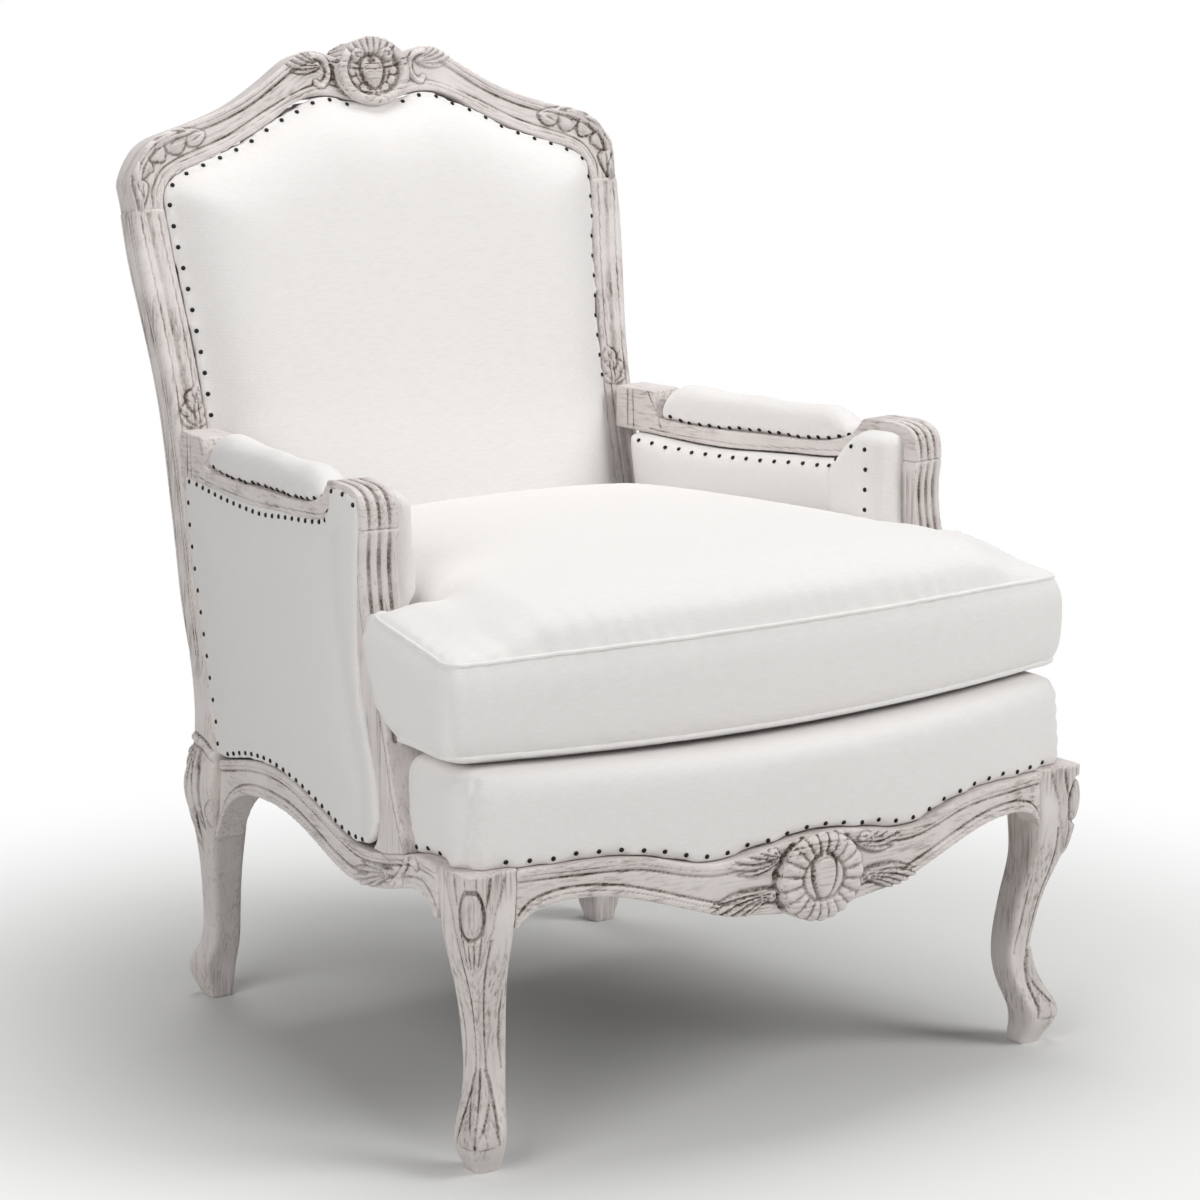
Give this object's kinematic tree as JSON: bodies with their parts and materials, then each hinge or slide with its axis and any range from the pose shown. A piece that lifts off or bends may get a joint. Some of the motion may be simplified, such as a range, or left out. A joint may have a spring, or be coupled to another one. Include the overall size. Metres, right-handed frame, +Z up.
{
  "type": "louis xv chair",
  "caption": "Carved and painted armchair with cabriole legs, serpentine rails, closed upholstered sides, raked back with carved crest and a loose T-shaped seat cushion.",
  "frame": {"origin": "floor level under the middle of the chair's bounding box", "axes": "+Z up, the front of the chair looks to -Y, +X is the sitter's left"},
  "size_m": [0.7802, 0.8567, 1.0447],
  "materials": {
    "painted_wood": "distressed off-white paint over brown glaze",
    "bare_wood": "unfinished beech",
    "webbing": "jute webbing",
    "lining": "black cambric",
    "cover": "plain woven cotton-linen, off-white"
  },
  "bodies": {
    "frame": {"front_leg_left": "painted_wood", "front_leg_right": "painted_wood", "back_post_left": "painted_wood", "back_post_right": "painted_wood", "front_seat_rail": "painted_wood", "side_seat_rail_left": "painted_wood", "side_seat_rail_right": "painted_wood", "rear_seat_rail": "painted_wood", "crest_rail": "painted_wood", "arm_support_left": "painted_wood", "arm_support_right": "painted_wood", "arm_left": "painted_wood", "arm_right": "painted_wood", "back_bottom_rail": "bare_wood", "corner_blocks": "bare_wood", "seat_cleats": "bare_wood", "seat_frame_dowels": "bare_wood", "back_frame_dowels": "bare_wood", "arm_dowels": "bare_wood", "seat_webbing": "webbing", "back_webbing": "webbing", "dust_cover": "lining", "seat_deck_pad": "cover", "back_pad": "cover", "back_outer_panel": "cover", "side_inner_pad_left": "cover", "side_inner_pad_right": "cover", "side_outer_panel_left": "cover", "side_outer_panel_right": "cover", "arm_pad_left": "cover", "arm_pad_right": "cover"},
    "cushion": {"seat_cushion": "cover"}
  },
  "joints": [
    {"name": "cushion_slide", "type": "slide", "parent": "frame", "child": "cushion", "axis": [0, -0.9397, 0.342], "range_m": [0, 0.75]}
  ]
}
